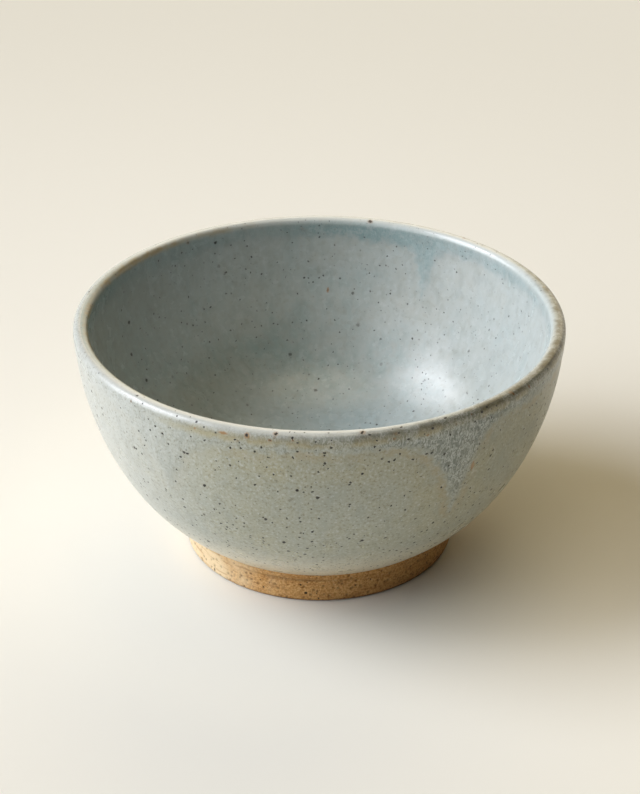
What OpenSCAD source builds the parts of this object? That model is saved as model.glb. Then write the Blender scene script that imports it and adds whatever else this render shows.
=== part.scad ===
// Glazed stoneware prep bowl on a bare turned foot ring.
// The origin is the centre of the foot's underside, and Z points up.

/* [Bowl] */
// Outside diameter under the lip, over the glaze
rim_d = 150; // [125:1:180]
// Height from the table to the top of the lip, over the glaze
bowl_h = 77.4; // [66:0.2:90]
// Thickness of the clay wall at the lip
lip_wall = 3.3; // [2.4:0.1:5]
// Thickness of the clay wall where it nears the foot
base_wall = 6.5; // [5:0.1:8]
// Thickness of the clay floor at its middle
floor_wall = 4.6; // [4:0.1:7]

/* [Wall curve] */
// Angle at which the wall leaves the foot, in degrees from level
belly_angle = 34; // [30:1:40]
// Length over which the wall holds that angle, as the lower handle of its curve
belly_reach = 27.7; // [23:0.1:32]
// Length over which the wall stands upright under the lip, as the upper handle of its curve
rim_reach = 18.5; // [13:0.1:21]

/* [Foot] */
// Outside diameter of the foot ring on the table
foot_d = 85.2; // [78:0.2:94]
// Outside diameter of the foot ring where the wall sits on it
foot_top_d = 85.8; // [78:0.2:94]
// Height of the foot ring
foot_h = 10.4; // [8:0.1:12.5]
// Width of the foot ring on the table
foot_w = 7; // [5.5:0.1:10]
// Inward lean of the inside of the foot ring, in degrees
foot_lean = 8; // [0:1:15]
// Radius of the eased edges that stand on the table
foot_edge_r = 1; // [0.4:0.1:1.8]
// Radius of the cove inside the foot ring, under the floor
cove_r = 2; // [1:0.1:3]
// Drop from the top of the foot ring to its turning groove
groove_drop = 2.7; // [1.5:0.1:4]
// Radius of the turning groove
groove_r = 0.45; // [0.2:0.05:0.8]

/* [Glaze] */
// Thickness of the first coat, inside and outside
coat_t = 0.4; // [0.25:0.05:0.7]
// Thickness that the second coat adds where the dips overlap
overlap_t = 0.25; // [0.15:0.05:0.45]
// Clearance between the first coat and the second
coat_gap = 0.02; // [0:0.01:0.05]
// Length of bare wall between the foot ring and the glaze line
bare_strip = 0.8; // [0.4:0.1:2]
// Number of dips that the second coat took, outside and inside
dip_count = 5; // [4:1:7]
// Tilt of the bowl at each dip, in degrees
dip_tilt = 54; // [45:1:60]
// Drop from the lip to the top of each dip line outside
outer_dip_drop = 4.5; // [4:0.1:8]
// Drop from the lip to the top of each dip line inside
inner_dip_drop = 7.4; // [5:0.1:10]
// Direction of the first dip line outside, in degrees
outer_dip_turn = -90; // [-180:1:180]
// Direction of the first dip line inside, in degrees
inner_dip_turn = 95; // [-180:1:180]

/* [Hidden] */
$fn = 180;

clay_color = [0.76, 0.58, 0.37];
coat_color = [0.66, 0.70, 0.68];
overlap_color = [0.60, 0.69, 0.72];

// Steps along each stretch of the outline
wall_steps = 26;
lip_steps = 7;
inner_steps = 16;
floor_steps = 18;
edge_steps = 5;

// The outer wall's steps crowd together towards the glaze line
crowding_power = 1.4;
// Height of the glaze's cut edge at the glaze line, against its thickness
coat_edge_share = 0.5;
// Where the inner wall turns into the floor, along the wall's curve
floor_turn_share = 0.42;
// Stretch of the wall's curve that sets the slope there
slope_share = 0.002;
// Where the second coat's ring begins, along the wall's curve and well under its dip lines
overlap_start_share = 0.3;

// Clay radius under the lip, lip radius and clay height
rim_r = rim_d / 2 - coat_t - coat_gap - overlap_t;
lip_r = lip_wall / 2;
clay_h = bowl_h - coat_t - coat_gap;
lip_centre = [rim_r - lip_r, clay_h - lip_r];
floor_z = foot_h + floor_wall;

// Foot ring radii
foot_r = foot_d / 2;
foot_top_r = foot_top_d / 2;
recess_r = foot_r - foot_w;
recess_top_r = recess_r - foot_h * tan(foot_lean);
groove_z = foot_h - groove_drop;
groove_centre = [foot_r + (foot_top_r - foot_r) * groove_z / foot_h, groove_z];

// Directions and curves in the plane of the outline
function heading(a) = [cos(a), sin(a)];
function unit(v) = v / norm(v);
function right_of(v) = [v[1], -v[0]];
function mix(a, b, s) = a + (b - a) * s;
function reversed(list) = [for (k = [len(list) - 1 : -1 : 0]) list[k]];
function arc(centre, r, a0, a1, steps) =
    [for (k = [0 : steps]) centre + r * heading(mix(a0, a1, k / steps))];
function quadratic(p, s) = mix(mix(p[0], p[1], s), mix(p[1], p[2], s), s);
function quadratic_dir(p, s) = unit(mix(p[1] - p[0], p[2] - p[1], s));
function cubic(p, s) = mix(quadratic([p[0], p[1], p[2]], s), quadratic([p[1], p[2], p[3]], s), s);
function cubic_dir(p, s) = unit(quadratic([p[1] - p[0], p[2] - p[1], p[3] - p[2]], s));

// The outside of the clay wall, from the foot to the lip
wall_foot = [foot_top_r, foot_h];
wall_rim = [rim_r, lip_centre[1]];
wall_curve = [
    wall_foot,
    wall_foot + belly_reach * heading(belly_angle),
    wall_rim - [0, rim_reach],
    wall_rim
];
// A cubic curve leaves its start at three times the length of its first handle
cubic_rate = 3;
bare_share = bare_strip / (cubic_rate * belly_reach);

// A station is a point of the clay's outline and the direction out of the clay there
function wall_station(s) = [cubic(wall_curve, s), right_of(cubic_dir(wall_curve, s))];
function lip_station(a) = [lip_centre + lip_r * heading(a), heading(a)];
function inner_wall(s) = mix(base_wall, lip_wall, s);
function inner_station(s) =
    let (outside = wall_station(s))
    [outside[0] - outside[1] * inner_wall(s), -outside[1]];

// The floor leaves the wall along its slope and runs level into the middle
floor_start = inner_station(floor_turn_share)[0];
floor_slope = unit(floor_start - inner_station(floor_turn_share + slope_share)[0]);
floor_corner = floor_start + floor_slope * (floor_z - floor_start[1]) / floor_slope[1];
floor_curve = [floor_start, floor_corner, [0, floor_z]];
function floor_station(s) = [quadratic(floor_curve, s), right_of(quadratic_dir(floor_curve, s))];

// The stretches of the outline, from the glaze line over the lip to the middle of the floor
function wall_share(k) = mix(bare_share, 1, pow(k / wall_steps, crowding_power));
wall_run = [for (k = [0 : wall_steps]) wall_station(wall_share(k))];
outer_lip_run = [for (k = [1 : lip_steps - 1]) lip_station(90 * k / lip_steps)];
lip_top = lip_station(90);
inner_lip_run = [for (k = [1 : lip_steps - 1]) lip_station(90 + 90 * k / lip_steps)];
inner_run = [for (k = [0 : inner_steps]) inner_station(mix(1, floor_turn_share, k / inner_steps))];
floor_run = [for (k = [1 : floor_steps]) floor_station(k / floor_steps)];
outer_overlap_run = [for (k = [0 : wall_steps]) if (wall_share(k) > overlap_start_share) wall_run[k]];
inner_overlap_run =
    [for (k = [0 : inner_steps])
        if (mix(1, floor_turn_share, k / inner_steps) > overlap_start_share) inner_run[k]];

// Points that stand off the clay along a run
function points(run) = [for (station = run) station[0]];
function lifted(run, t) = [for (station = run) station[0] + t * station[1]];
// The second coat lies on the first and thins out to nothing at the top of the lip
seat_t = coat_t + coat_gap;
function thinning(run) =
    [for (station = run) station[0] + (seat_t + overlap_t * abs(station[1][0])) * station[1]];

// A ring or dish turned about the Z axis from its outline
module turned(outline) {
    rotate_extrude() polygon(outline);
}

// The thrown clay: wall, lip and floor, flat underneath where the foot ring is joined on
module bowl_body() {
    run = concat(wall_run, outer_lip_run, [lip_top], inner_lip_run, inner_run, floor_run);
    color(clay_color)
        turned(concat([[0, foot_h], wall_foot], points(run)));
}

// The bare foot ring: eased edges, a turning groove outside and a cove under the floor
module foot_ring() {
    bottom_outer = arc([foot_r - foot_edge_r, foot_edge_r], foot_edge_r, -90, 0, edge_steps);
    groove = arc(groove_centre, groove_r, 270, 90, edge_steps);
    cove_start = recess_top_r - cove_r;
    cove = arc([cove_start, foot_h - cove_r], cove_r, 90, 0, edge_steps);
    bottom_inner = arc([recess_r + foot_edge_r, foot_edge_r], foot_edge_r, 180, 270, edge_steps);
    color(clay_color)
        turned(concat(bottom_outer, groove, [wall_foot], cove, bottom_inner));
}

// The glaze poured inside, from the top of the lip to the middle of the floor
module inner_glaze() {
    run = concat([lip_top], inner_lip_run, inner_run, floor_run);
    color(coat_color)
        turned(concat(points(run), reversed(lifted(run, coat_t))));
}

// The glaze on the outside, from the glaze line to the top of the lip
module outer_glaze() {
    line = wall_run[0];
    above_line = [for (k = [1 : wall_steps]) wall_run[k]];
    run = concat(above_line, outer_lip_run, [lip_top]);
    cut_edge = line[0] + coat_edge_share * coat_t * line[1];
    color(coat_color)
        turned(concat([line[0]], points(run), reversed(lifted(run, coat_t)), [cut_edge]));
}

// Everything under the dip lines: each dip tilts the bowl so that its line rises towards one side
module under_dip_lines(top_r, drop, first_turn) {
    span = 2 * rim_d;
    for (k = [0 : dip_count - 1])
        rotate([0, 0, first_turn + 360 * k / dip_count])
            translate([top_r, 0, bowl_h - drop])
                rotate([0, -dip_tilt, 0])
                    translate([-span, -span / 2, -span])
                        cube([2 * span, span, span]);
}

// The second coat outside, where the dips overlap: an arched edge with a point between dips
module outer_rim_coat() {
    run = concat(outer_overlap_run, outer_lip_run);
    color(overlap_color)
        difference() {
            turned(concat(lifted(run, seat_t), lifted([lip_top], seat_t), reversed(thinning(run))));
            under_dip_lines(rim_d / 2, outer_dip_drop, outer_dip_turn);
        }
}

// The second coat inside, with its own dip lines
module inner_rim_coat() {
    run = concat(inner_lip_run, inner_overlap_run);
    color(overlap_color)
        difference() {
            turned(concat(lifted([lip_top], seat_t), lifted(run, seat_t), reversed(thinning(run))));
            under_dip_lines(rim_r - lip_wall - coat_t, inner_dip_drop, inner_dip_turn);
        }
}

bowl_body();
foot_ring();
inner_glaze();
outer_glaze();
inner_rim_coat();
outer_rim_coat();
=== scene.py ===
# Looks of a glazed stoneware prep bowl: fine turned meshes, procedural glaze and clay, studio light.
# Lengths are millimetres until a mesh, light or camera is made, and Z points up.
import math
from typing import NamedTuple

import bpy
import numpy as np
from mathutils import Matrix, Vector, kdtree, noise


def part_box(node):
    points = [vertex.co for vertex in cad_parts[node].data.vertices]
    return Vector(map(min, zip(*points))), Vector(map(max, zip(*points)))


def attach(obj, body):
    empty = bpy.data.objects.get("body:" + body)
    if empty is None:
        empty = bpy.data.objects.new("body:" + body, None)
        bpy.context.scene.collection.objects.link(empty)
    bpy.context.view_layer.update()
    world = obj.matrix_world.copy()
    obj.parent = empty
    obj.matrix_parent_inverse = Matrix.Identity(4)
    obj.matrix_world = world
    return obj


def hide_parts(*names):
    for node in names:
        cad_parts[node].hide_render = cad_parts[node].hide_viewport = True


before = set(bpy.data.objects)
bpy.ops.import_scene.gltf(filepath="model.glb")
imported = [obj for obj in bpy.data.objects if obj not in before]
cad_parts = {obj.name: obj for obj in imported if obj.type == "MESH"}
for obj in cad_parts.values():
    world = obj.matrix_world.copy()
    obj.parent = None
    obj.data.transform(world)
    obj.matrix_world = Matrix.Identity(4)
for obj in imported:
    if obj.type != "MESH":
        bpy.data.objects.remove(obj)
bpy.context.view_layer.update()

MM = 0.001
BODY = "root"

# Bowl, as the frame gives it
FOOT_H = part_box("foot_ring")[1].z / MM
FOOT_TOP_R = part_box("foot_ring")[1].x / MM
RIM_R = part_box("bowl_body")[1].x / MM
CLAY_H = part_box("bowl_body")[1].z / MM
FLOOR_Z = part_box("inner_glaze")[0].z / MM

# Wall, in the part's own sizes
LIP_WALL = 3.3
BASE_WALL = 6.5
BELLY_ANGLE = math.radians(34)
BELLY_REACH = 27.7
RIM_REACH = 18.5
FLOOR_TURN_SHARE = 0.42
SLOPE_SHARE = 0.002
CUBIC_RATE = 3
LIP_R = LIP_WALL / 2
LIP_CENTRE = np.array([RIM_R - LIP_R, CLAY_H - LIP_R])

# Foot ring, in the part's own sizes apart from its groove
FOOT_R = 42.6
FOOT_W = 7.0
FOOT_LEAN = math.radians(8)
FOOT_EDGE_R = 1.0
COVE_R = 2.0
GROOVE_DROP = 2.7
GROOVE_DEPTH = 0.5
GROOVE_HALF = 0.32
# How deep the groove is worn: direction in degrees, share
GROOVE_MARKS = [
    (-100, 1.0),
    (-72, 0.0),
    (-128, 0.0),
    (-40, 0.1),
    (0, 0.5),
    (40, 0.0),
    (100, 0.6),
    (150, 0.0),
]
# How unevenly it is worn and how far it wanders, with the waves of each in one turn
GROOVE_UNEVEN_SHARE = 0.3
GROOVE_UNEVEN_WAVES = 16
GROOVE_LEAST_SHARE = 0.05
# How much darker the groove is coloured, as a share of the pits' brown
GROOVE_DARK_SHARE = 0.85
GROOVE_WANDER = 0.25
GROOVE_WANDER_WAVES = 4
# Relief of the bare clay: depth and size of its grain and lumps, and where it starts above the table
# and below the wall
GRAIN_DEPTH, GRAIN_SIZE = 0.07, 1.1
LUMP_DEPTH, LUMP_SIZE = 0.06, 3.0
OFF_TABLE = (0.15, 0.9)
BELOW_WALL = (0.05, 0.5)
# Pits: distance apart, depth, and radius as a share of that distance
PIT_CELL = 1.4
PIT_DEPTH = 0.3
PIT_REACH_SHARE = 0.42
# A pit is kept where noise at its place, scaled by this, is over the limit
PIT_PICK_SCALE = 7.31
PIT_PICK_LIMIT = 0.05
# Turning rings under the floor: depth, radians per mm, radii where they end, and how uneven they are
TURNING_DEPTH = 0.12
TURNING_RATE = 2.4
TURNING_END = (33, 30)
TURNING_EVEN_SHARE = 0.8
TURNING_UNEVEN_SHARE = 0.4
TURNING_SIZE = 12.0

# Glaze
COAT_T = 0.4
OVERLAP_T = 0.25
BEAD_T = 0.1
BARE_STRIP = 0.8
LINE_WANDER = 0.45
LINE_WAVES = 22
# Where the glaze and its bead rise and fall, from the glaze line, and the second coat, from its edge
EDGE_RISE = (-0.3, 0.9)
BEAD_RISE = (0.1, 0.9)
BEAD_FALL = (1.0, 3.5)
OVERLAP_RISE = (-2.0, 2.0)
# Swells and throwing rings: height, size and wave, and where they start from the crest and the glaze line
SWELL_T, SWELL_SIZE = 0.05, 14.0
THROWN_T, THROWN_SIZE = 0.008, 30.0
THROWN_WAVE = 1.1
CREST_CLEAR = (3, 12)
LINE_CLEAR = (2, 8)

# Dip lines of the second coat: direction in degrees, height of the arch's top, depth and curve of its sides
OUTER_DIPS = [
    (-84, 72.4, 95, 4.4),
    (-101, 71.6, 95, 4.4),
    (-20, 72.2, 30, 16),
    (52, 72.8, 31, 7),
    (124, 71.8, 28, 9),
    (-162, 72.2, 30, 7),
]
INNER_DIPS = [
    (95, 71.6, 17, 15),
    (23, 72.0, 17, 18),
    (-49, 71.4, 22, 9),
    (-121, 70.6, 20, 12),
    (167, 71.2, 18, 12),
]
# Angle from the top of an arch at which its side has fallen by its depth
DIP_HALF = 36.0
# How far the edge of the second coat wanders, with the size of its bends
DIP_WANDERS = [(1.0, 9.0), (0.6, 3.5)]
DIP_STEP_DEG = 0.25
# How clearly the second coat shows between the dips: direction in degrees, share
OUTER_CLEARNESS = [(-55, 1.0), (-90, 0.85), (-126, 0.15), (161, 0.6), (88, 0.9), (16, 0.7)]
INNER_CLEARNESS = [(59, 1.0), (131, 0.06), (-157, 0.3), (-85, 0.7), (-13, 0.1)]
# How dark the glaze breaks over the outer edge of the lip, darkest on the right, where it is partly painted
# # shade on the side that faces away from the lamps: direction in degrees, share
LIP_BREAKS_AND_SHADE = [
    (-30, 1.0),
    (-60, 0.9),
    (-80, 0.4),
    (-98, 0.25),
    (-130, 0.1),
    (160, 0.1),
    (110, 0.4),
    (50, 0.4),
    (5, 0.95),
]

# Rust marks in the glaze: direction in degrees, height, half width, half height, share that is black
OUTER_MARKS = [
    (-53.3, 58.2, 0.9, 3.2, 0.15),
    (-117.2, 75.1, 0.7, 0.6, 0.4),
    (-110.6, 75.6, 1.9, 0.6, 0.25),
    (-105.3, 76.0, 1.1, 1.1, 0.5),
    (-100.3, 75.4, 0.8, 0.6, 0.4),
    (-95.5, 75.8, 0.6, 0.5, 0.5),
    (-74.0, 75.0, 0.7, 0.6, 0.5),
    (-66.5, 74.2, 0.9, 0.5, 0.4),
]
INNER_MARKS = [(87.5, 53.1, 0.7, 1.5, 0.25)]

# Angle over which a share given for one direction blends into the next
BLEND_REACH = 24.0

# Fineness of the meshes
GLAZE_TURNS = 512
FOOT_TURNS = 800
BODY_TURNS = 256
WALL_ROWS = 92
LIP_ROWS = 12
INNER_ROWS = 54
FLOOR_ROWS = 38
HIDDEN_ROWS = 14
BODY_UNDER_ROWS = 60
BODY_WALL_ROWS = 48
BODY_LIP_ROWS = 18
BODY_INNER_ROWS = 30
BODY_FLOOR_ROWS = 14
BODY_BARE_ROWS = 4  # rows of the wall that show under the glaze line
FOOT_EDGE_ROWS = 6
FOOT_FACE_ROWS = 26
FOOT_TOP_ROWS = 6
FOOT_COVE_ROWS = 6
FOOT_RECESS_ROWS = 16
FOOT_INNER_EDGE_ROWS = 5
FOOT_SOLE_ROWS = 14
FACE_STEPS = 200
POLE_SHARE = 0.985
CROWDING = 1.25
HIDDEN_MAP_SHARE = 0.05
MAP_MARGIN = 0.004
# How far apart the noise of one seed lies from the next
SEED_SHIFT = Vector((17.3, 5.7, 11.9))


# Curves in the plane of the outline
def unit(v):
    return v / np.linalg.norm(v, axis=-1, keepdims=True)


def right_of(v):
    return np.stack([v[..., 1], -v[..., 0]], axis=-1)


def heading(a):
    return np.stack([np.cos(a), np.sin(a)], axis=-1)


def smooth(low, high, x):
    t = np.clip((x - low) / (high - low), 0, 1)
    return t * t * (3 - 2 * t)


def bezier(points, s):
    points = [np.asarray(p, float) for p in points]
    s = np.asarray(s, float)[..., None]
    while len(points) > 1:
        points = [a + (b - a) * s for a, b in zip(points, points[1:])]
    return points[0]


def bezier_heading(points, s):
    steps = [np.subtract(b, a) for a, b in zip(points, points[1:])]
    return unit(bezier(steps, s))


def arc(centre, r, a0, a1, steps):
    return np.asarray(centre) + r * heading(np.radians(np.linspace(a0, a1, steps + 1)))


def straight(a, b, steps):
    """Points after a, up to and with b."""
    share = np.linspace(0, 1, steps + 1)[1:, None]
    return np.asarray(a) + (np.asarray(b) - np.asarray(a)) * share


WALL_FOOT = np.array([FOOT_TOP_R, FOOT_H])
WALL_RIM = np.array([RIM_R, LIP_CENTRE[1]])
WALL_CURVE = [
    WALL_FOOT,
    WALL_FOOT + BELLY_REACH * heading(BELLY_ANGLE),
    WALL_RIM - [0, RIM_REACH],
    WALL_RIM,
]


# Stretches of the clay's outline: points, and the directions out of the clay there
def wall(s):
    return bezier(WALL_CURVE, s), right_of(bezier_heading(WALL_CURVE, s))


def lip(a):
    return LIP_CENTRE + LIP_R * heading(a), heading(a)


def inner_wall(s):
    point, out = wall(s)
    thickness = BASE_WALL + (LIP_WALL - BASE_WALL) * np.asarray(s, float)[..., None]
    return point - out * thickness, -out


def floor_curve():
    start = inner_wall(FLOOR_TURN_SHARE)[0]
    slope = unit(start - inner_wall(FLOOR_TURN_SHARE + SLOPE_SHARE)[0])
    corner = start + slope * (FLOOR_Z - start[1]) / slope[1]
    return [start, corner, np.array([0, FLOOR_Z])]


FLOOR_CURVE = floor_curve()


def floor(s):
    return bezier(FLOOR_CURVE, s), right_of(bezier_heading(FLOOR_CURVE, s))


def glaze_radius(height, inside):
    """Radius of the glaze's face at that height, on the inside or the outside of the wall."""
    share = np.linspace(0, 1, FACE_STEPS)
    runs = [inner_wall(share)] if inside else [wall(share), lip(share * math.pi / 2)]
    face = np.concatenate([point + COAT_T * out for point, out in runs])
    return np.interp(height, face[:, 1], face[:, 0])


# Rings of a turned surface, as arrays of shape (rows, turns, 3)
def angles(turns):
    return np.arange(turns) * 2 * math.pi / turns


def all_round(rows, turns):
    """The same row of values at each turn."""
    return np.repeat(np.asarray(rows, float)[:, None], turns, axis=1)


def spun(outline):
    """Points (r, z) of shape (rows, turns, 2), each turned about the Z axis to its own angle."""
    a = angles(outline.shape[1])
    r, z = outline[..., 0], outline[..., 1]
    return np.stack([r * np.cos(a), r * np.sin(a), z], axis=-1)


def noise_at(points, cell, seed=0):
    """Smooth noise from about -1 to 1, with features about one cell across."""
    shift = SEED_SHIFT * seed
    flat = points.reshape(-1, 3) / cell
    return np.array([noise.noise(Vector(p) + shift) for p in flat]).reshape(points.shape[:-1])


def noise_round(turns, waves, seed):
    """Noise along one turn that meets itself, with about that many waves."""
    a = angles(turns)
    circle = np.stack([np.cos(a), np.sin(a), 0 * a], axis=-1) * waves / math.pi
    return noise_at(circle, 1.0, seed)


def lengths(points):
    """Distance along a line of points, from its first one."""
    return np.concatenate([[0], np.cumsum(np.linalg.norm(np.diff(points, axis=0), axis=-1))])


def facing(rings, run):
    """Directions out of a surface whose rows run up the outside and down the inside."""
    along = np.gradient(rings, run, axis=0)
    around = np.roll(rings, -1, axis=1) - np.roll(rings, 1, axis=1)
    return unit(np.cross(around, along))


# Meshes
def turned_mesh(name, rings, shares, poles=()):
    """A closed mesh through rings of points, looped like a tyre, or closed by a pole at each end.

    shares place the rows on the bake map, which holds the two half turns one above the other.
    """
    rows, turns = rings.shape[:2]
    half = turns // 2
    points = np.vstack([rings.reshape(-1, 3), *poles])
    index = np.arange(rows * turns).reshape(rows, turns)
    sector = np.arange(turns)
    strip = sector // half
    left = (sector - strip * half) / half
    right = left + 1 / half
    faces, corners = [], []

    def add(vertices, across, up):
        faces.extend(np.stack(vertices, axis=-1).tolist())
        u = MAP_MARGIN + (1 - 2 * MAP_MARGIN) * np.stack(across, axis=-1)
        v = MAP_MARGIN + (1 - 2 * MAP_MARGIN) * np.array(up)
        corners.append(np.stack([u, (strip[:, None] + v) / 2], axis=-1).reshape(-1))

    for row in range(rows - 1 if poles else rows):
        low, high = index[row], index[(row + 1) % rows]
        v0, v1 = shares[row], shares[row + 1]
        around = (low, np.roll(low, -1), np.roll(high, -1), high)
        add(around, (left, right, right, left), (v0, v0, v1, v1))
    middle = (left + right) / 2
    for k, row in enumerate((0, rows - 1)[: len(poles)]):
        tip = np.full(turns, rows * turns + k)
        pair = (index[row], np.roll(index[row], -1))
        v, v_tip = shares[row], (0, 1)[k]
        add((pair[1 - k], pair[k], tip), ((right, left)[k], (left, right)[k], middle), (v, v, v_tip))
    mesh = bpy.data.meshes.new(name)
    mesh.from_pydata((points * MM).tolist(), [], faces)
    mesh.uv_layers.new(name="OFBake").data.foreach_set("uv", np.concatenate(corners).astype(np.float32))
    mesh.polygons.foreach_set("use_smooth", np.ones(len(faces), bool))
    mesh.update()
    return mesh


def map_shares(rings, hidden):
    """Where each row lies on the bake map, by its distance along the outline; hidden rows are squeezed."""
    line = rings[:, 0]
    steps = np.linalg.norm(np.diff(line, axis=0, append=line[:1]), axis=1)
    steps[hidden] *= HIDDEN_MAP_SHARE
    return np.concatenate([[0], np.cumsum(steps)]) / steps.sum()


def add_field(mesh, name, values):
    """A number at each vertex, for a material to read. The poles take the last row's mean."""
    full = np.full(len(mesh.vertices), values[-1].mean(), np.float32)
    full[: values.size] = values.reshape(-1)
    mesh.attributes.new(name, "FLOAT", "POINT").data.foreach_set("value", full)


def set_normals(mesh, normals):
    """Given directions at the rings, and straight up at the last pole."""
    full = np.tile([0.0, 0.0, 1.0], (len(mesh.vertices), 1))
    full[: normals.size // 3] = normals.reshape(-1, 3)
    mesh.normals_split_custom_set_from_vertices(full.tolist())


def add_piece(mesh, material, slot, *nodes):
    piece = bpy.data.objects.new(mesh.name, mesh)
    bpy.context.scene.collection.objects.link(piece)
    mesh.materials.append(material)
    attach(piece, BODY)
    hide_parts(*nodes)


# Dip lines
def dip_height(turn_deg, dips):
    """Height of the second coat's lower edge: arches, with a point hanging between neighbours."""
    heights = []
    for direction, top, depth, power in dips:
        off = np.abs((turn_deg - direction + 180) % 360 - 180)
        heights.append(top - depth * (off / DIP_HALF) ** power)
    return np.max(heights, axis=0)


def dip_distance(rings, dips, seed):
    """Distance from the second coat's edge in mm: positive on the second coat, negative below it."""
    wander = sum(reach * noise_at(rings, size, seed + k) for k, (reach, size) in enumerate(DIP_WANDERS))
    shifted = rings + wander[..., None] * [0, 0, 1]
    turn_deg = np.degrees(np.arctan2(rings[..., 1], rings[..., 0]))
    above = shifted[..., 2] - dip_height(turn_deg, dips)
    line = rings[:, 0]
    order = np.argsort(line[:, 2])
    edge_deg = np.arange(-180, 180, DIP_STEP_DEG)
    edge_z = dip_height(edge_deg, dips)
    edge_r = np.interp(edge_z, line[order, 2], line[order, 0])
    edge = np.column_stack([edge_r[:, None] * heading(np.radians(edge_deg)), edge_z])
    tree = kdtree.KDTree(len(edge))
    for k, point in enumerate(edge):
        tree.insert(point, k)
    tree.balance()
    away = [tree.find(point)[2] for point in shifted.reshape(-1, 3)]
    return np.copysign(np.reshape(away, above.shape), above)


def blended(turn_deg, marks):
    """A share at each direction, blended between the directions for which marks give one."""
    shares, weights = 0, 0
    for direction, share in marks:
        off = (turn_deg - direction + 180) % 360 - 180
        weight = np.exp(-((off / BLEND_REACH) ** 2))
        shares, weights = shares + weight * share, weights + weight
    return shares / weights


# The glaze: outside from the glaze line to the lip's crest, inside from there to the floor's middle
def glaze_outline():
    """Clay under the whole glaze, row by row: points, directions out of it, and the row of the crest."""
    reach = CUBIC_RATE * BELLY_REACH
    start = (BARE_STRIP + LINE_WANDER * noise_round(GLAZE_TURNS, LINE_WAVES, seed=3)) / reach
    step = np.linspace(0, 1, WALL_ROWS)[:, None] ** CROWDING
    quarter = np.linspace(0, math.pi / 2, LIP_ROWS + 1)[1:]
    stretches = [
        wall(start + (1 - start) * step),
        lip(np.concatenate([quarter, math.pi / 2 + quarter[:-1]])),
        inner_wall(np.linspace(1, FLOOR_TURN_SHARE, INNER_ROWS)),
        floor(np.linspace(0, POLE_SHARE, FLOOR_ROWS)[1:]),
    ]
    points, out = [], []
    for point, direction in stretches:
        flat = point.ndim == 2
        points.append(all_round(point, GLAZE_TURNS) if flat else point)
        out.append(all_round(direction, GLAZE_TURNS) if flat else direction)
    return np.concatenate(points), np.concatenate(out), WALL_ROWS + LIP_ROWS - 1


def glaze_thickness(base, out, run, dip):
    """Thickness of the glaze in mm: bead at the glaze line, second coat, throwing rings, slow swells."""
    from_line = run - run[0]
    thickness = COAT_T * smooth(*EDGE_RISE, from_line)
    thickness += BEAD_T * smooth(*BEAD_RISE, from_line) * (1 - smooth(*BEAD_FALL, from_line))
    thickness = thickness[:, None] + OVERLAP_T * smooth(*OVERLAP_RISE, dip) * np.abs(out[..., 0])
    clear_of_edges = smooth(*CREST_CLEAR, np.abs(run)) * smooth(*LINE_CLEAR, from_line)
    swells = SWELL_T * noise_at(base, SWELL_SIZE, seed=11)
    rings = THROWN_T * np.sin(run / THROWN_WAVE)[:, None] * (1 + noise_at(base, THROWN_SIZE, seed=12))
    return thickness + (swells + rings) * clear_of_edges[:, None]


def make_glaze(outer_material, inner_material):
    """The skins of glaze outside and inside, which meet along the crest of the lip."""
    outline, out, crest = glaze_outline()
    run = lengths(outline[:, 0])
    run -= run[crest]
    base = spun(outline + COAT_T * out)
    dip = np.concatenate([
        dip_distance(base[: crest + 1], OUTER_DIPS, seed=5),
        dip_distance(base[crest + 1:], INNER_DIPS, seed=8),
    ])
    turn_deg = np.degrees(angles(GLAZE_TURNS))
    sides = (OUTER_CLEARNESS if row <= crest else INNER_CLEARNESS for row in range(len(base)))
    clear = np.array([blended(turn_deg, side) for side in sides])
    thickness = glaze_thickness(base, out, run, dip)
    face = spun(outline + thickness[..., None] * out)
    seat = spun(outline)
    normals = facing(face, run)
    last = len(face) - 1
    fields = {
        "dip": dip,
        "clear": clear,
        "run": all_round(run, GLAZE_TURNS),
        "line": all_round(run - run[0], GLAZE_TURNS),
        # Where the lip's outer edge breaks dark, partly painted shade on the right.
        "lip_break_shade": np.tile(blended(turn_deg, LIP_BREAKS_AND_SHADE), (len(base), 1)),
    }

    def skin(name, rows, back, poles=()):
        """A closed skin through rows of the glaze's face, or of its seat on the clay where back is true."""
        behind = back[:, None, None]
        rings = np.where(behind, seat[rows], face[rows])
        hidden = back | np.append(back[1:], False)
        mesh = turned_mesh(name, rings, map_shares(rings, hidden), poles)
        set_normals(mesh, np.where(behind, -normals[rows], normals[rows]))
        for field, values in fields.items():
            add_field(mesh, field, values[rows])
        return mesh

    outer_seat = np.linspace(crest, 0, HIDDEN_ROWS).astype(int)
    rows = np.concatenate([np.arange(crest + 1), outer_seat])
    mesh = skin("outer_glaze_skin", rows, np.arange(len(rows)) > crest)
    add_piece(mesh, outer_material, "glaze", "outer_glaze", "outer_rim_coat")

    inner_seat = np.linspace(last, crest, HIDDEN_ROWS).astype(int)
    rows = np.concatenate([inner_seat, np.arange(crest, last + 1)])
    poles = [np.array([0, 0, FLOOR_Z]), np.array([0, 0, face[-1, :, 2].mean()])]
    mesh = skin("inner_glaze_skin", rows, np.arange(len(rows)) < HIDDEN_ROWS, poles)
    add_piece(mesh, inner_material, "glaze", "inner_glaze", "inner_rim_coat")


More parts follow.
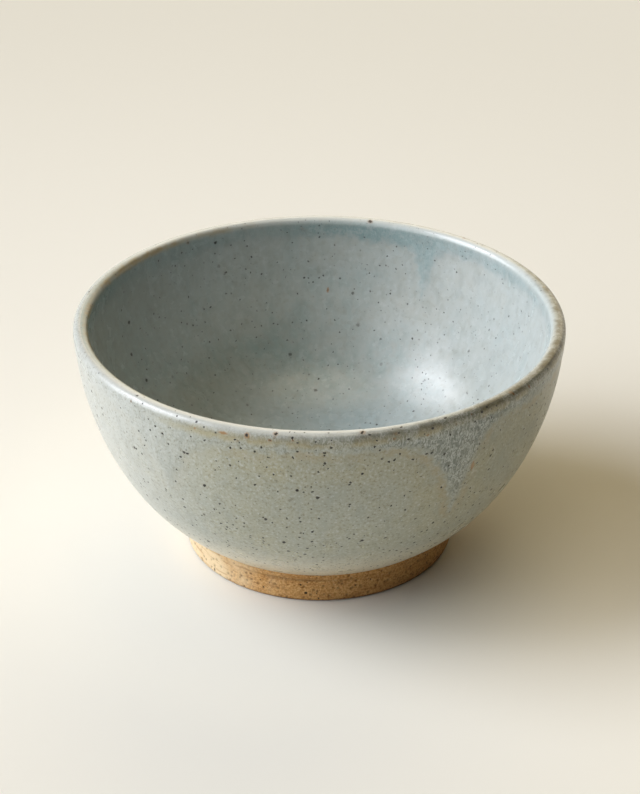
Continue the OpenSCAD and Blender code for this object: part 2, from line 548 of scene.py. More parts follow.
# The clay
def make_body(material):
    """The thrown bowl under the glaze, with turning rings on its underside."""
    under = straight((0, FOOT_H), WALL_FOOT, BODY_UNDER_ROWS)[:-1]
    side = wall(np.linspace(0, 1, BODY_WALL_ROWS))[0]
    over = lip(np.linspace(0, math.pi, BODY_LIP_ROWS))[0][1:-1]
    inside = inner_wall(np.linspace(1, FLOOR_TURN_SHARE, BODY_INNER_ROWS))[0]
    bottom = floor(np.linspace(0, POLE_SHARE, BODY_FLOOR_ROWS))[0][1:]
    outline = np.concatenate([under, side, over, inside, bottom])
    rings = spun(all_round(outline, BODY_TURNS))
    radius = under[:, 0]
    depth = TURNING_DEPTH * np.sin(radius * TURNING_RATE) * smooth(*TURNING_END, radius)
    uneven = TURNING_UNEVEN_SHARE * noise_at(rings[: len(under)], TURNING_SIZE, seed=21)
    rings[: len(under), :, 2] += depth[:, None] * (TURNING_EVEN_SHARE + uneven)
    poles = [np.array([0, 0, FOOT_H]), np.array([0, 0, FLOOR_Z])]
    hidden = np.arange(len(rings)) >= len(under) + BODY_BARE_ROWS
    mesh = turned_mesh("clay_body", rings, map_shares(rings, hidden), poles)
    add_field(mesh, "pit", np.zeros(rings.shape[:2]))
    add_piece(mesh, material, "stoneware", "bowl_body")


def foot_outline():
    """The foot ring's outline from the table up the outside, over the top and down the inside.

    Also gives which of its rows lie hidden under the wall.
    """
    recess_r = FOOT_R - FOOT_W
    recess_top_r = recess_r - FOOT_H * math.tan(FOOT_LEAN)
    outer_edge = arc((FOOT_R - FOOT_EDGE_R, FOOT_EDGE_R), FOOT_EDGE_R, -90, 0, FOOT_EDGE_ROWS)
    outer_face = straight(outer_edge[-1], WALL_FOOT, FOOT_FACE_ROWS)
    cove = arc((recess_top_r - COVE_R, FOOT_H - COVE_R), COVE_R, 90, 0, FOOT_COVE_ROWS)
    top = straight(WALL_FOOT, cove[0], FOOT_TOP_ROWS)
    inner_edge = arc((recess_r + FOOT_EDGE_R, FOOT_EDGE_R), FOOT_EDGE_R, 180, 270, FOOT_INNER_EDGE_ROWS)
    inner_face = straight(cove[-1], inner_edge[0], FOOT_RECESS_ROWS)
    sole = straight(inner_edge[-1], outer_edge[0], FOOT_SOLE_ROWS)[:-1]
    outline = np.concatenate([outer_edge, outer_face, top, cove[1:], inner_face, inner_edge[1:], sole])
    row, first = np.arange(len(outline)), len(outer_edge) + len(outer_face)
    return outline, (row >= first) & (row < first + len(top) - 1)


def pits_at(points):
    """Small pits from 0 to 1 deep: one at each scattered point that is kept."""
    depth = []
    for point in points.reshape(-1, 3) / PIT_CELL:
        near, places = noise.voronoi(Vector(point))
        kept = noise.noise(places[0] * PIT_PICK_SCALE) > PIT_PICK_LIMIT
        depth.append(max(0.0, 1 - near[0] / PIT_REACH_SHARE) if kept else 0.0)
    return np.reshape(depth, points.shape[:-1])


def make_foot(material):
    """The foot ring, with its sandy face, pits and worn turning groove."""
    outline, hidden = foot_outline()
    base = spun(all_round(outline, FOOT_TURNS))
    run = lengths(outline)
    out = facing(base, run)
    height = base[..., 2]
    off_table = smooth(*OFF_TABLE, height)
    below_wall = smooth(*BELOW_WALL, FOOT_H - height)
    outside = np.hypot(base[..., 0], base[..., 1]) > FOOT_R - FOOT_W / 2
    worn = blended(np.degrees(angles(FOOT_TURNS)), GROOVE_MARKS)
    worn += GROOVE_UNEVEN_SHARE * noise_round(FOOT_TURNS, GROOVE_UNEVEN_WAVES, seed=31)
    worn = np.clip(worn, GROOVE_LEAST_SHARE, 1)
    wander = GROOVE_WANDER * noise_round(FOOT_TURNS, GROOVE_WANDER_WAVES, seed=32)
    groove_z = FOOT_H - GROOVE_DROP + wander
    groove = np.exp(-(((height - groove_z) / GROOVE_HALF) ** 2)) * worn * outside
    pit = pits_at(base) * off_table
    grain = GRAIN_DEPTH * noise_at(base, GRAIN_SIZE, seed=33)
    lumps = LUMP_DEPTH * noise_at(base, LUMP_SIZE, seed=34)
    relief = (grain + lumps - PIT_DEPTH * pit - GROOVE_DEPTH * groove) * off_table * below_wall
    rings = base + relief[..., None] * out
    mesh = turned_mesh("clay_foot", rings, map_shares(rings, hidden))
    add_field(mesh, "pit", np.maximum(pit, GROOVE_DARK_SHARE * groove))
    add_piece(mesh, material, "stoneware", "foot_ring")


# Materials
class Noise(NamedTuple):
    """Noise with features of a size in mm. A stretch below 1 draws them out along that axis."""
    size: float
    detail: float = 2.0
    stretch: tuple = (1, 1, 1)
    rough: float = 0.5
    distortion: float = 0.0


class Specks(NamedTuple):
    """Specks of radius small to large, in mm, on the share keep of points about one cell apart.

    soft is the share of the radius over which the edge fades, and faint how dark the faintest are.
    """
    cell: float
    small: float
    large: float
    keep: float
    soft: float = 0.15
    faint: float = 0.75


# Share of the specks that are fainter than the rest
FAINT_SHARE = 0.7
# Sockets of a mix node that is set to colours
MIX_FACTOR, MIX_A, MIX_B, MIX_RESULT = 0, 6, 7, 2


class Shader:
    """The nodes of a material or world, made by short calls that each give the socket to carry on from."""

    def __init__(self, owner):
        self.owner = owner
        owner.use_nodes = True
        self.tree = owner.node_tree
        self.tree.nodes.clear()

    def node(self, kind, inputs, **settings):
        made = self.tree.nodes.new(kind)
        for key, value in settings.items():
            setattr(made, key, value)
        for key, value in inputs.items():
            if isinstance(value, bpy.types.NodeSocket):
                self.tree.links.new(value, made.inputs[key])
            else:
                made.inputs[key].default_value = value
        return made

    def math(self, operation, a, b=0.0):
        return self.node("ShaderNodeMath", {0: a, 1: b}, operation=operation).outputs[0]

    def add(self, a, b):
        return self.math("ADD", a, b)

    def times(self, a, b):
        return self.math("MULTIPLY", a, b)

    def between(self, x, low, high, start=0.0, end=1.0):
        """From start to end, smoothly, as x goes from low to high."""
        inputs = {"Value": x, "From Min": low, "From Max": high, "To Min": start, "To Max": end}
        made = self.node("ShaderNodeMapRange", inputs, interpolation_type="SMOOTHSTEP")
        return made.outputs["Result"]

    def band(self, x, centre, half):
        """1 where x is at the centre, falling to 0 at half on both sides."""
        return self.between(self.math("ABSOLUTE", self.math("SUBTRACT", x, centre)), half, 0.0)

    def field(self, name):
        return self.node("ShaderNodeAttribute", {}, attribute_name=name).outputs["Fac"]

    def place(self, stretch=(1, 1, 1), shift=(0, 0, 0)):
        coordinates = self.node("ShaderNodeTexCoord", {}).outputs["Object"]
        inputs = {"Vector": coordinates, "Scale": stretch, "Location": shift}
        return self.node("ShaderNodeMapping", inputs).outputs["Vector"]

    def across_and_height(self):
        axes = self.node("ShaderNodeSeparateXYZ", {"Vector": self.place()}).outputs
        return axes["X"], axes["Z"]

    def noise(self, kind):
        """Noise from 0 to 1."""
        inputs = {"Vector": self.place(kind.stretch), "Scale": 1 / (kind.size * MM), "Detail": kind.detail}
        inputs.update({"Roughness": kind.rough, "Distortion": kind.distortion})
        return self.node("ShaderNodeTexNoise", inputs).outputs["Fac"]

    def warped(self, size, reach, stretch=(1, 1, 1)):
        """Places pushed about by noise of that size, up to reach mm, so that round marks turn ragged."""
        place = self.place(stretch)
        inputs = {"Vector": place, "Scale": 1 / (size * MM), "Detail": 1.0}
        push = self.node("ShaderNodeTexNoise", inputs).outputs["Color"]
        centred = self.node("ShaderNodeVectorMath", {0: push, 1: (0.5, 0.5, 0.5)}, operation="SUBTRACT")
        inputs = {0: centred.outputs[0], 1: (reach * MM,) * 3, 2: place}
        return self.node("ShaderNodeVectorMath", inputs, operation="MULTIPLY_ADD").outputs[0]

    def spot(self, place, centre, half_width, half_height):
        """1 at a point, falling to 0 at the given distances in mm to the sides, and up and down."""
        away = self.node("ShaderNodeVectorMath", {0: place, 1: centre}, operation="SUBTRACT").outputs[0]
        scale = [1 / (size * MM) for size in (half_width, half_width, half_height)]
        shares = self.node("ShaderNodeVectorMath", {0: away, 1: scale}, operation="MULTIPLY").outputs[0]
        distance = self.node("ShaderNodeVectorMath", {0: shares}, operation="LENGTH").outputs["Value"]
        return self.math("SUBTRACT", 1.0, distance)

    def specks(self, place, kind, share=1.0):
        """A mask of specks, 0 off them and up to 1 on them, thinned out to a share of what kind keeps."""
        cells = self.node("ShaderNodeTexVoronoi", {"Vector": place, "Scale": 1 / (kind.cell * MM)})
        pick = self.node("ShaderNodeSeparateColor", {"Color": cells.outputs["Color"]})
        radius = self.between(pick.outputs[0], 0, 1, kind.small / kind.cell, kind.large / kind.cell)
        edge = self.math("DIVIDE", cells.outputs["Distance"], radius)
        kept = self.math("LESS_THAN", pick.outputs[1], self.times(share, kind.keep))
        dark = self.between(pick.outputs[2], 0, FAINT_SHARE, kind.faint, 1)
        return self.times(self.between(edge, 1 + kind.soft, 1 - kind.soft), self.times(kept, dark))

    def mix(self, share, a, b):
        """From colour a to colour b as share goes from 0 to 1."""
        inputs = {MIX_FACTOR: share, MIX_A: a, MIX_B: b}
        return self.node("ShaderNodeMix", inputs, data_type="RGBA").outputs[MIX_RESULT]

    def ramp(self, x, stops):
        made = self.node("ShaderNodeValToRGB", {"Fac": x})
        elements = made.color_ramp.elements
        while len(elements) < len(stops):
            elements.new(1.0)
        for element, (position, colour) in zip(elements, stops):
            element.position = position
            element.color = colour
        return made.outputs["Color"]

    def bump(self, height, distance):
        """Relief of that many mm where height goes from 0 to 1."""
        inputs = {"Height": height, "Distance": distance * MM, "Strength": 1.0}
        return self.node("ShaderNodeBump", inputs).outputs["Normal"]

    def seen(self):
        """1 for what the camera sees straight, in gloss or through glass, and 0 for light that is cast."""
        rays = self.node("ShaderNodeLightPath", {}).outputs
        mirrored = self.math("MAXIMUM", rays["Is Glossy Ray"], rays["Is Transmission Ray"])
        return self.math("MAXIMUM", rays["Is Camera Ray"], mirrored)

    def principled(self, colour, roughness, normal, **values):
        inputs = {"Base Color": colour, "Roughness": roughness, "Normal": normal, **values}
        return self.node("ShaderNodeBsdfPrincipled", inputs).outputs[0]

    def finish(self, surface, kind="Material"):
        self.node("ShaderNodeOutput" + kind, {"Surface": surface})
        return self.owner


def rgb(red, green, blue):
    """A colour given as it shows on a screen, from 0 to 255, for a shader."""
    def linear(c):
        c /= 255
        return c / 12.92 if c <= 0.04045 else ((c + 0.055) / 1.055) ** 2.4
    return (linear(red), linear(green), linear(blue), 1.0)


# Colours of the glaze
# The pale and slate colours below also serve as painted light and painted shade in the glaze's drift from
# left to right.
PALE_AND_PAINTED_LIGHT = rgb(200, 205, 203)
# Paler and warmer low on the outside, towards the glaze line: partly thin glaze, partly painted bounce light
# from the floor.
LOW_PALE_AND_BOUNCE = rgb(218, 211, 188)
# Bluer low inside: partly pooled glaze, partly painted cool light that offsets the warm top lamp on the
# bowl's floor.
POOLED_AND_COOL_LIGHT = rgb(166, 183, 191)
SLATE_AND_PAINTED_SHADE = rgb(94, 100, 92)
DARK_GRAIN = rgb(112, 108, 88)
TAN = rgb(168, 150, 109)
HONEY = rgb(172, 161, 121)
OLIVE_AND_SHADE = rgb(82, 77, 56)
BROWN = rgb(104, 74, 42)
RUST = rgb(158, 112, 58)
IRON = rgb(22, 18, 14)
# Cream along the lip's crest: partly glaze run thin, partly a painted highlight.
CREAM_AND_HIGHLIGHT = rgb(208, 212, 208)

# Noise and specks in the glaze
BROAD = Noise(34)
PATCHES = Noise(8, detail=3)
STREAKS = Noise(2.4, stretch=(1, 1, 0.3))
RAGGED = Noise(2.2, detail=3)
RAGGED_REACH = 1.8
CLOUDS = Noise(3, stretch=(1, 1, 0.6))
WORMS = Noise(0.85, detail=1, stretch=(1, 1, 0.5), distortion=0.8)
WEAR = Noise(6, detail=3)
DUST = Specks(1.4, 0.08, 0.2, 0.6, soft=0.5)
TICKS = Specks(2.4, 0.16, 0.4, 0.6)
# What makes specks ragged: size, reach, and stretch if any
SPECK_WARP = (0.8, 0.8)
TICK_WARP = (0.9, 0.5, (1, 1, 0.5))

# Thickness of the glaze, on the scale of its colours, and what each cause adds to it
COLOUR_STOPS = (0.15, 0.5, 0.85)
SECOND_WEIGHT = 0.36
THIN_WEIGHT = -0.15
BROAD_WEIGHT = 0.5
PATCH_WEIGHT = 0.4
STREAK_WEIGHT = 0.3
GRAIN_WEIGHT = 0.3

# Changes in the glaze: where each starts and ends, and the shares there if they aren't 0 and 1.
# Places across and heights are in metres, distances along the glaze in mm, the rest shares or noise.
LIP_COAT_CHANGE = (10, 5)
SECOND_CHANGE = (-1.8, 2.2)
THIN_CHANGE = (0, 1, 0.3, 1)
# Partly painted cool light: where the glaze turns bluer low inside, by height.
POOLED_COOL_LIGHT_CHANGE = (32 * MM, 17 * MM, 0, 0.6)
# Partly painted bounce light: where the low band outside pales, in mm from the glaze line.
LOW_PALE_BOUNCE_CHANGE = (30, 8, 0, 0.98)
# Painted light and shade: where the glaze drifts to its left and right colours, partly its own drift and
# partly paler where it faces the key lamp and greyer where it faces away.
LEFT_SHADING_CHANGE = (-20 * MM, -70 * MM)
RIGHT_SHADING_CHANGE = (10 * MM, 60 * MM)
PALE_GRAIN_CHANGE = (0.53, 0.72)
DARK_GRAIN_CHANGE = (0.47, 0.28)
CLOUD_CHANGE = (0.54, 0.3, 0, 0.12)
TAN_PATCH_CHANGE = (0.36, 0.64, 0.1, 0.5)
TAN_LINE_CHANGE = (2.6, 0.2, 0, 0.6)
BREAK_SHADE_SHIFT_CHANGE = (0.3, 1, 0, 1.3)
CREST_BREAK_SHADE_CHANGE = (0.35, 1, 1, 0.4)
CREST_HIGHLIGHT_LEFT_CHANGE = (-74 * MM, -50 * MM, 0.1, 1)
WEAR_CHANGE = (0.38, 0.62)
TINGE_WEAR_CHANGE = (0, 1, 0.2, 0.65)
TINGE_LEFT_CHANGE = (-54 * MM, -28 * MM)
OUTER_BREAK_SHADE_CHANGE = (0, 1, 0.55, 1)
INNER_BREAK_CHANGE = (0, 1, 0.3, 1)
INNER_BREAK_LEFT_CHANGE = (10 * MM, -66 * MM, 0.05, 0.8)
SPECKS_LOW_CHANGE = (50, 12, 0.75, 1.1)
SPECKS_LEFT_CHANGE = (-62 * MM, -10 * MM, 0.5, 1)
HALO_CHANGE = (5.0, 2.5, 0.05, 0.5)
RUST_CHANGE = (0, 0.7, 0, 0.75)
ROUGH_CHANGE = (0.2, 0.8)
LIP_GLOSS_CHANGE = (4, 1.5, 0, -0.08)

# Bands in the glaze: middle and half width, in mm from a line or in the noise's own value
THIN_BAND = (-7, 7)
FLECK_BAND = (0.56, 0.09)
GAP_BAND = (0.40, 0.08)
TAN_BAND = (-2.2, 2.4)
CREST_HIGHLIGHT_BAND = (0.1, 3.0)
TINGE_BAND = (-3.4, 2.2)
OUTER_BREAK_SHADE_BAND = (-1.8, 2.5)
INNER_BREAK_BAND = (1.7, 1.5)
TICK_BAND = (-3.0, 1.9)

# Shares in the glaze
GAP_SHARE = 0.7
LINE_RAGGED_SHARE = 0.5
LIP_RAGGED_SHARE = 0.3
DUST_SHARE = 0.35
CORE_EDGE_SHARE = 0.15
PATCH_ROUGH = 0.08
SPECK_ROUGH = 0.2
GRAIN_RELIEF_SHARE = 0.5
SPECK_RELIEF_SHARE = -0.6
GLAZE_RELIEF = 0.025
GLAZE_IOR = 1.55


class GlazeLook(NamedTuple):
    """What differs between the glaze outside and inside.

    colours are those where it is thin, middling and thick, and thickness places the first coat among them.
    Each side's drift is a colour and the share of it to which the glaze drifts at the left or the right;
    the drift is partly the glaze's own and partly painted light and shade, paler where the glaze faces
    the key lamp and greyer where it faces away.
    lip_coat is how much of the second coat shows all along the lip.
    """
    inside: bool
    colours: tuple
    thickness: float
    left_drift_painted_shading: tuple
    right_drift_painted_shading: tuple
    grain: Noise
    pale_grain: float
    dark_grain: float
    flecks: float
    tan_edge: float
    lip_coat: float
    lumps: Specks
    halo: Specks
    grit: Specks
    speck_depth: float
    roughness: float
    marks: list


OUTER_LOOK = GlazeLook(
    inside=False,
    colours=(rgb(170, 168, 143), rgb(166, 170, 157), rgb(130, 140, 134)),
    thickness=0.42,
    # Outside, the pale drift at the left is partly painted light from the key lamp, and the grey at the right
    # partly painted shade.
    left_drift_painted_shading=(PALE_AND_PAINTED_LIGHT, 0.7),
    right_drift_painted_shading=(SLATE_AND_PAINTED_SHADE, 0.13),
    grain=Noise(0.8, rough=0.6),
    pale_grain=0.58,
    dark_grain=0.54,
    flecks=0.8,
    tan_edge=1.0,
    lip_coat=0.3,
    lumps=Specks(4.6, 0.345, 0.575, 0.48, faint=0.9),
    halo=Specks(4.6, 0.55, 0.9, 0.48, soft=0.6),
    grit=Specks(1.75, 0.14, 0.4, 0.8, faint=0.9),
    speck_depth=1.0,
    roughness=0.26,
    marks=OUTER_MARKS,
)
INNER_LOOK = GlazeLook(
    inside=True,
    colours=(rgb(180, 183, 176), rgb(176, 184, 181), rgb(143, 165, 165)),
    thickness=0.5,
    # Inside, the grey drift at the left is partly painted shade under the rim, and the pale at the right
    # partly painted light from the key lamp.
    left_drift_painted_shading=(SLATE_AND_PAINTED_SHADE, 0.2),
    right_drift_painted_shading=(PALE_AND_PAINTED_LIGHT, 0.3),
    grain=Noise(2.4, rough=0.6),
    pale_grain=0.34,
    dark_grain=0.12,
    flecks=0.15,
    tan_edge=0.15,
    lip_coat=0.5,
    lumps=Specks(4.6, 0.405, 0.675, 0.32, soft=0.45, faint=0.4),
    halo=Specks(4.6, 0.55, 0.9, 0.32, soft=0.6),
    grit=Specks(1.75, 0.14, 0.33, 0.8, soft=0.45, faint=0.4),
    speck_depth=0.9,
    roughness=0.22,
    marks=INNER_MARKS,
)


class GlazeShader(Shader):
    """The glaze on one side: what it reads from the mesh, and the layers that colour it in turn."""

    def __init__(self, name, look):
        super().__init__(bpy.data.materials.new(name))
        self.look = look
        self.across, self.height = self.across_and_height()
        fields = ("dip", "run", "line", "clear", "lip_break_shade")
        self.dip, self.run, self.line, self.clear, self.break_and_shade = (self.field(field) for field in fields)
        self.from_crest = self.math("ABSOLUTE", self.run)
        self.patches = self.noise(PATCHES)
        self.grain = self.noise(look.grain)
        self.ragged = self.between(self.noise(RAGGED), 0, 1, -RAGGED_REACH, RAGGED_REACH)
        self.from_dip = self.add(self.dip, self.ragged)
        along_lip = self.between(self.from_crest, *LIP_COAT_CHANGE, 0, look.lip_coat)
        self.shown = self.math("MAXIMUM", self.clear, along_lip)
        self.second = self.times(self.between(self.from_dip, *SECOND_CHANGE), self.shown)

    def coated(self):
        """Colour by thickness, then where the glaze pools or thins out, and its drift from left to right.

            The pooling inside is partly painted cool light, the pale low band outside partly painted bounce
            light from the floor, and the drift partly painted light and shade.
        """
        look = self.look
        thin = self.times(self.band(self.from_dip, *THIN_BAND), self.between(self.shown, *THIN_CHANGE))
        thick = self.add(self.times(self.second, SECOND_WEIGHT), look.thickness)
        thick = self.add(thick, self.times(thin, THIN_WEIGHT))
        causes = [
            (self.noise(BROAD), BROAD_WEIGHT),
            (self.patches, PATCH_WEIGHT),
            (self.noise(STREAKS), STREAK_WEIGHT),
            (self.grain, GRAIN_WEIGHT),
        ]
        for source, weight in causes:
            thick = self.add(thick, self.times(self.math("SUBTRACT", source, 0.5), weight))
        colour = self.ramp(thick, list(zip(COLOUR_STOPS, look.colours)))
        if look.inside:
            # Bluer low inside: partly pooled glaze, partly painted cool light.
            colour = self.mix(self.between(self.height, *POOLED_COOL_LIGHT_CHANGE), colour, POOLED_AND_COOL_LIGHT)
        else:
            # Partly painted bounce light from the floor: paler and warmer towards the glaze line.
            colour = self.mix(self.between(self.line, *LOW_PALE_BOUNCE_CHANGE), colour, LOW_PALE_AND_BOUNCE)
        # Drift to the left and right colours: partly the glaze's own, partly painted light and shade.
        for change, (painted_shading_tint, share) in ((LEFT_SHADING_CHANGE, look.left_drift_painted_shading), (RIGHT_SHADING_CHANGE, look.right_drift_painted_shading)):
            colour = self.mix(self.between(self.across, *change, 0, share), colour, painted_shading_tint)
        return colour

    def grained(self, colour):
        """Grain and clouds, and pale flecks with dark gaps in the second coat."""
        look = self.look
        pale = self.between(self.grain, *PALE_GRAIN_CHANGE, 0, look.pale_grain)
        dark = self.between(self.grain, *DARK_GRAIN_CHANGE, 0, look.dark_grain)
        colour = self.mix(dark, self.mix(pale, colour, PALE_AND_PAINTED_LIGHT), DARK_GRAIN)
        colour = self.mix(self.between(self.noise(CLOUDS), *CLOUD_CHANGE), colour, SLATE_AND_PAINTED_SHADE)
        worms = self.noise(WORMS)
        flecked = self.times(self.second, look.flecks)
        colour = self.mix(self.times(self.band(worms, *FLECK_BAND), flecked), colour, PALE_AND_PAINTED_LIGHT)
        gaps = self.times(self.band(worms, *GAP_BAND), self.times(flecked, GAP_SHARE))
        return self.mix(gaps, colour, SLATE_AND_PAINTED_SHADE)

    def edged(self, colour):
        """Tan edges of the second coat and of the glaze line."""
        edge = self.times(self.band(self.from_dip, *TAN_BAND), self.between(self.patches, *TAN_PATCH_CHANGE))
        colour = self.mix(self.times(edge, self.times(self.clear, self.look.tan_edge)), colour, TAN)
        from_line = self.add(self.line, self.times(self.ragged, LINE_RAGGED_SHARE))
        return self.mix(self.between(from_line, *TAN_LINE_CHANGE), colour, TAN)

    def lipped(self, colour):
        """The lip: pale along its crest, breaking to honey, olive, tan and brown on its edges.

        The cream crest is partly a painted highlight; the olive break and the narrower crest on the right
        are partly painted shade.
        """
        # Where the lip breaks dark, partly painted shade, its bands shift towards the crest.
        run = self.math("SUBTRACT", self.run, self.between(self.break_and_shade, *BREAK_SHADE_SHIFT_CHANGE))
        ragged_run = self.add(run, self.times(self.ragged, LIP_RAGGED_SHARE))
        worn = self.between(self.noise(WEAR), *WEAR_CHANGE)
        # Cream crest, partly a painted highlight, narrower on the right as painted shade.
        crest = self.times(self.band(run, *CREST_HIGHLIGHT_BAND), self.between(self.break_and_shade, *CREST_BREAK_SHADE_CHANGE))
        colour = self.mix(self.times(crest, self.between(self.across, *CREST_HIGHLIGHT_LEFT_CHANGE)), colour, CREAM_AND_HIGHLIGHT)
        tinge = self.times(self.band(ragged_run, *TINGE_BAND), self.between(worn, *TINGE_WEAR_CHANGE))
        colour = self.mix(self.times(tinge, self.between(self.across, *TINGE_LEFT_CHANGE)), colour, HONEY)
        # Olive break on the lip's outer edge, partly painted shade where the lip faces away from the lamps.
        break_and_shade = self.times(self.break_and_shade, self.between(worn, *OUTER_BREAK_SHADE_CHANGE))
        colour = self.mix(self.times(self.band(ragged_run, *OUTER_BREAK_SHADE_BAND), break_and_shade), colour, OLIVE_AND_SHADE)
        break_and_shade = self.between(self.across, *INNER_BREAK_LEFT_CHANGE)
        break_and_shade = self.times(break_and_shade, self.between(worn, *INNER_BREAK_CHANGE))
        colour = self.mix(self.times(self.band(ragged_run, *INNER_BREAK_BAND), break_and_shade), colour, TAN)
        ticks = self.specks(self.warped(*TICK_WARP), TICKS)
        return self.mix(self.times(ticks, self.band(run, *TICK_BAND)), colour, BROWN)

    def specked(self, colour):
        """Iron specks, rusty near the lip, dust, and rust marks with black cores: colour and mask."""
        look = self.look
        place = self.warped(*SPECK_WARP)
        share = self.between(self.line, *SPECKS_LOW_CHANGE)
        if not look.inside:
            share = self.times(share, self.between(self.across, *SPECKS_LEFT_CHANGE))
        lumps, halo, grit = (self.specks(place, kind, share) for kind in (look.lumps, look.halo, look.grit))
        colour = self.mix(self.times(halo, self.between(self.from_crest, *HALO_CHANGE)), colour, RUST)
        colour = self.mix(self.times(self.specks(place, DUST), DUST_SHARE), colour, SLATE_AND_PAINTED_SHADE)
        mask = self.math("MAXIMUM", grit, lumps)
        for turn, level, half_width, half_height, core in look.marks:
            across, along = glaze_radius(level, look.inside) * heading(math.radians(turn))
            centre = (across * MM, along * MM, level * MM)
            spot = self.spot(place, centre, half_width, half_height)
            colour = self.mix(self.between(spot, *RUST_CHANGE), colour, RUST)
            mask = self.math("MAXIMUM", mask, self.between(spot, 1 - core, 1 - core + CORE_EDGE_SHARE))
        return self.mix(self.times(mask, look.speck_depth), colour, IRON), mask


def glaze_material(name, look):
    s = GlazeShader(name, look)
    colour, specks = s.specked(s.lipped(s.edged(s.grained(s.coated()))))
    roughness = s.between(s.patches, *ROUGH_CHANGE, look.roughness, look.roughness + PATCH_ROUGH)
    roughness = s.add(roughness, s.times(specks, SPECK_ROUGH))
    roughness = s.add(roughness, s.between(s.from_crest, *LIP_GLOSS_CHANGE))
    relief = s.add(s.times(s.grain, GRAIN_RELIEF_SHARE), s.times(specks, SPECK_RELIEF_SHARE))
    return s.finish(s.principled(colour, roughness, s.bump(relief, GLAZE_RELIEF), IOR=GLAZE_IOR))


# Bare clay: colours, noise and specks
BUFF = rgb(198, 150, 88)
# Dark buff of the clay's grain and lines, also painted shade on its right side.
BUFF_DARK_AND_SHADE = rgb(146, 96, 46)
BUFF_LIGHT = rgb(222, 184, 128)
# Pale buff, painted light on the clay's left side.
BUFF_PAINTED_LIGHT = rgb(226, 206, 168)
# Dark brown for the pits and the groove, also painted contact shade along the foot's base.
PIT_AND_CONTACT_SHADE = rgb(72, 46, 22)
CLAY_STOPS = [(0.32, BUFF_DARK_AND_SHADE), (0.5, BUFF), (0.7, BUFF_LIGHT)]
CLAY_GRAIN = Noise(0.7, detail=4, rough=0.7)
CLAY_PATCHES = Noise(9, detail=3)
CLAY_LINES = Noise(0.9, stretch=(0.12, 0.12, 1))
CLAY_LUMPS = Specks(3.6, 0.22, 0.44, 0.4)
CLAY_GRIT = Specks(1.6, 0.1, 0.26, 0.32)
CLAY_WARP = (0.8, 0.5)
# Changes in the clay: where each starts and ends, in metres or in the noise's own value, and the shares there
# Painted light and shade on the bare clay: paler at the left, towards the key lamp, and browner at the right,
# in its shade, with a ragged border that reaches this far.
CLAY_SHADING_REACH = 14 * MM
CLAY_PAINTED_LIGHT_CHANGE = (-10 * MM, -36 * MM, 0, 0.85)
CLAY_PAINTED_SHADE_CHANGE = (0, 36 * MM, 0, 0.1)
LINES_CHANGE = (0.53, 0.68, 0, 0.4)
# Painted contact shade: darker towards the table over the foot's lowest 1.2 mm.
CONTACT_SHADE_CHANGE = (1.2 * MM, 0.2 * MM, 0, 0.6)
PIT_SHARE = 0.95
CLAY_SPECK_SHARE = 0.92
CLAY_SPECK_RELIEF_SHARE = -0.5
CLAY_ROUGH = 0.85
CLAY_RELIEF = 0.12
CLAY_IOR = 1.45


def clay_material():
    s = Shader(bpy.data.materials.new("bare_stoneware"))
    across, height = s.across_and_height()
    grain = s.noise(CLAY_GRAIN)
    colour = s.ramp(grain, CLAY_STOPS)
    # Painted light at the left and painted shade at the right.
    shading_across = s.add(across, s.between(s.noise(CLAY_PATCHES), 0, 1, -CLAY_SHADING_REACH, CLAY_SHADING_REACH))
    colour = s.mix(s.between(shading_across, *CLAY_PAINTED_LIGHT_CHANGE), colour, BUFF_PAINTED_LIGHT)
    colour = s.mix(s.between(shading_across, *CLAY_PAINTED_SHADE_CHANGE), colour, BUFF_DARK_AND_SHADE)
    colour = s.mix(s.between(s.noise(CLAY_LINES), *LINES_CHANGE), colour, BUFF_DARK_AND_SHADE)
    colour = s.mix(s.times(s.field("pit"), PIT_SHARE), colour, PIT_AND_CONTACT_SHADE)
    # Painted contact shade along the foot's base.
    colour = s.mix(s.between(height, *CONTACT_SHADE_CHANGE), colour, PIT_AND_CONTACT_SHADE)
    place = s.warped(*CLAY_WARP)
    specks = s.math("MAXIMUM", s.specks(place, CLAY_GRIT), s.specks(place, CLAY_LUMPS))
    colour = s.mix(s.times(specks, CLAY_SPECK_SHARE), colour, IRON)
    relief = s.add(grain, s.times(specks, CLAY_SPECK_RELIEF_SHARE))
    return s.finish(s.principled(colour, CLAY_ROUGH, s.bump(relief, CLAY_RELIEF), IOR=CLAY_IOR))


# Studio
CAMERA_AIM = Vector((0.2, 0, 47.9)) * MM
CAMERA_BACK = 600 * MM
CAMERA_RISE = math.radians(29.106)
CAMERA_ROLL = math.radians(0.1)
CAMERA_LENS = 86.9
# Lamps: rise above the horizon, turn from +X and width as seen in degrees, strength, colour
COOL = (0.906, 0.931, 1.0)
WARM = (1.0, 0.825, 0.53)
LAMPS = {
    "key": (26, 180, 46, 2.08, COOL),
    "key_high": (46, 175, 34, 1.4, COOL),
    "key_wing": (27, 208, 55, 1.15, COOL),
    "top": (86, 270, 40, 0.6, WARM),
    "right_back": (38, 76, 50, 0.6, WARM),
    "back_low": (20, 80, 60, 0.5, WARM),
}
# Floor, in metres: half its width, where its painted pool of light centres and ends, where it fades into the
# backdrop
FLOOR_REACH = 40.0
FLOOR_SHIFT = (0.12, 0, 0)
FLOOR_POOL_REACH = 0.6
FLOOR_FADE = (0.8, 3.0)
FLOOR_PAINTED_LIGHT = rgb(237, 236, 229)
FLOOR_BEYOND_POOL = rgb(220, 218, 208)
FLOOR_ROUGH = 0.9
FLOOR_GLOSS = 0.2
FLOOR_RELIEF = 0.01
PAPER = Noise(0.6)
BACKDROP = rgb(232, 227, 215)
CEILING = rgb(64, 60, 54)
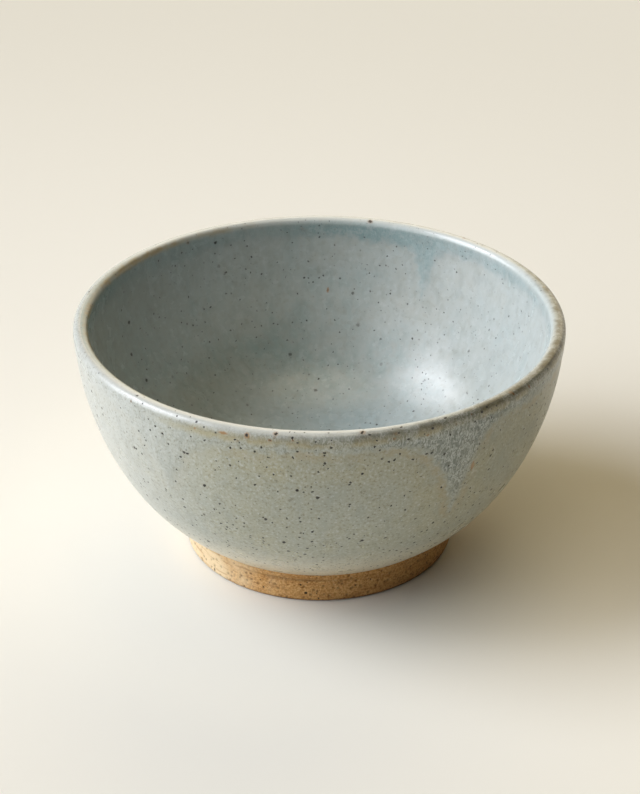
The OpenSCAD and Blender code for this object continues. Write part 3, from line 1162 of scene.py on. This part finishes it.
# Heights on a sphere about the bowl, from 0 to 1, where the backdrop ends and the ceiling starts
BACKDROP_TOP = math.sin(math.radians(14))
CEILING_START = math.sin(math.radians(30))


def make_camera():
    ahead = Vector((0, math.cos(CAMERA_RISE), -math.sin(CAMERA_RISE)))
    across = Vector((1, 0, 0))
    up = across.cross(ahead)
    x = math.cos(CAMERA_ROLL) * across + math.sin(CAMERA_ROLL) * up
    y = math.cos(CAMERA_ROLL) * up - math.sin(CAMERA_ROLL) * across
    turn = Matrix((x, y, -ahead)).transposed().to_4x4()
    data = bpy.data.cameras.new("camera")
    data.lens = CAMERA_LENS
    camera = bpy.data.objects.new("camera", data)
    camera.matrix_world = Matrix.Translation(CAMERA_AIM - CAMERA_BACK * ahead) @ turn
    bpy.context.scene.collection.objects.link(camera)
    bpy.context.scene.camera = camera


def make_lamp(name, rise, turn, angle, strength, colour):
    data = bpy.data.lights.new(name, "SUN")
    data.energy = strength
    data.angle = math.radians(angle)
    data.color = colour
    rise, turn = math.radians(rise), math.radians(turn)
    source = Vector((math.cos(rise) * math.cos(turn), math.cos(rise) * math.sin(turn), math.sin(rise)))
    lamp = bpy.data.objects.new(name, data)
    lamp.rotation_euler = source.to_track_quat("Z", "Y").to_euler()
    bpy.context.scene.collection.objects.link(lamp)


def make_world():
    """The studio as it is seen straight or in the gloss: a pale backdrop all round under a dim ceiling."""
    s = Shader(bpy.data.worlds.new("studio"))
    direction = s.node("ShaderNodeTexCoord", {}).outputs["Generated"]
    height = s.node("ShaderNodeSeparateXYZ", {"Vector": direction}).outputs["Z"]
    colour = s.ramp(height, [(BACKDROP_TOP, BACKDROP), (CEILING_START, CEILING)])
    background = s.node("ShaderNodeBackground", {"Color": colour, "Strength": s.seen()})
    bpy.context.scene.world = s.finish(background.outputs[0], "World")


def make_floor():
    """Pale paper with a painted pool of light left of the bowl, fading into the backdrop far from the bowl.
    """
    s = Shader(bpy.data.materials.new("floor_paper"))
    place = s.place(shift=FLOOR_SHIFT)
    away = s.node("ShaderNodeVectorMath", {0: place}, operation="LENGTH").outputs["Value"]
    paper = s.bump(s.noise(PAPER), FLOOR_RELIEF)
    # Painted pool of light: paler near a point left of the bowl, towards the key lamp.
    colour = s.mix(s.between(away, 0.0, FLOOR_POOL_REACH), FLOOR_PAINTED_LIGHT, FLOOR_BEYOND_POOL)
    lit = s.principled(colour, FLOOR_ROUGH, paper, **{"Specular IOR Level": FLOOR_GLOSS})
    backdrop = s.node("ShaderNodeEmission", {"Color": BACKDROP}).outputs[0]
    far = s.times(s.between(away, *FLOOR_FADE), s.seen())
    material = s.finish(s.node("ShaderNodeMixShader", {0: far, 1: lit, 2: backdrop}).outputs[0])
    mesh = bpy.data.meshes.new("floor")
    r = FLOOR_REACH
    mesh.from_pydata([(-r, -r, 0), (r, -r, 0), (r, r, 0), (-r, r, 0)], [], [(0, 1, 2, 3)])
    mesh.materials.append(material)
    plane = bpy.data.objects.new("floor", mesh)
    bpy.context.scene.collection.objects.link(plane)


make_camera()
for lamp_name, values in LAMPS.items():
    make_lamp(lamp_name, *values)
make_world()
make_floor()
make_glaze(glaze_material("outer_glaze", OUTER_LOOK), glaze_material("inner_glaze", INNER_LOOK))
stoneware = clay_material()
make_body(stoneware)
make_foot(stoneware)
bpy.context.scene.view_settings.view_transform = "Standard"
